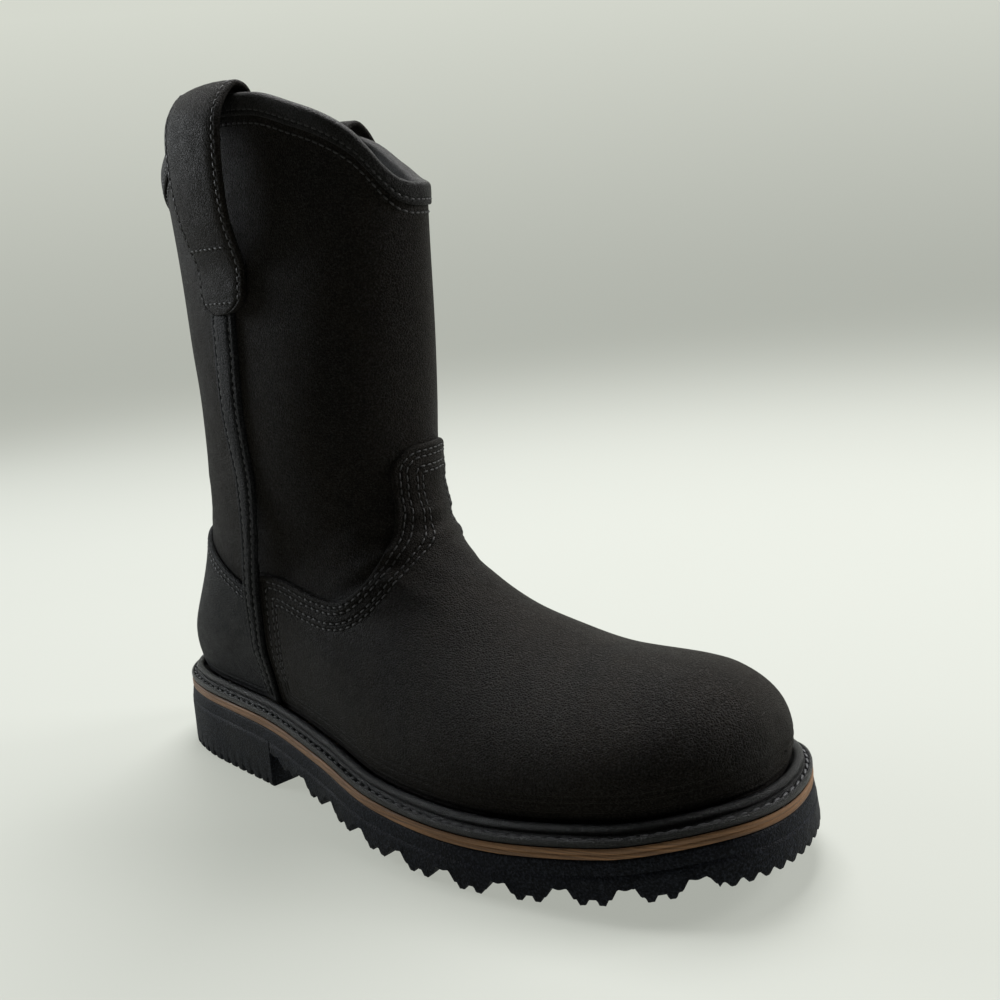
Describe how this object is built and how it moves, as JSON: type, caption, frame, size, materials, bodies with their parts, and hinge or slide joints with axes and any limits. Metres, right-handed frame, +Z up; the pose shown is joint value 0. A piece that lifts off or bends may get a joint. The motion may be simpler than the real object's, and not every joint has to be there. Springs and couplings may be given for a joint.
{
  "type": "steel toe work boot",
  "caption": "Pull-on work boot with a tall leather shaft, steel toe cap, stitched welt, tan midsole and lugged rubber outsole with heel.",
  "frame": {"origin": "bottom centre of the boot's box, on the ground", "axes": "+X from the heel to the toe, +Z up the shaft, -Y the outer (lateral) side of this right boot"},
  "size_m": [0.3154, 0.1168, 0.2864],
  "materials": {
    "rubber_black": "matte, fine grained",
    "midsole_tan": "matte, stacked edge",
    "welt_black": "semi gloss",
    "thread_black": "waxed thread",
    "canvas_rib": "woven",
    "cork": "granular",
    "steel": "plain",
    "fibreboard": "matte",
    "footbed_foam": "brushed knit over foam",
    "leather_black": "oiled nubuck, matte",
    "leather_trim": "matte",
    "edge_strip": "matte",
    "interlining": "felted",
    "lining": "brushed knit"
  },
  "bodies": {
    "boot": {"outsole": "rubber_black", "midsole": "midsole_tan", "welt": "welt_black", "welt_thread": "thread_black", "insole_rib": "canvas_rib", "cork_filler": "cork", "steel_shank": "steel", "insole_board": "fibreboard", "vamp": "leather_black", "heel_counter_cover": "leather_trim", "shaft_front": "leather_black", "shaft_back": "leather_black", "heel_counter": "fibreboard", "steel_toe_cap": "steel", "toe_cap_edge": "edge_strip", "vamp_interlining": "interlining", "foot_lining": "lining", "shaft_lining": "lining", "collar_binding": "leather_trim", "side_stay_lateral": "leather_trim", "pull_strap_lateral": "leather_black", "side_stay_medial": "leather_trim", "pull_strap_medial": "leather_black"},
    "removable_footbed": {"footbed": "footbed_foam"}
  },
  "joints": [
    {"name": "footbed_lift", "type": "hinge", "parent": "boot", "child": "removable_footbed", "pos_m": [0.1386, 0, 0.012], "axis": [0, 1, 0], "range_deg": [0, 3]}
  ]
}
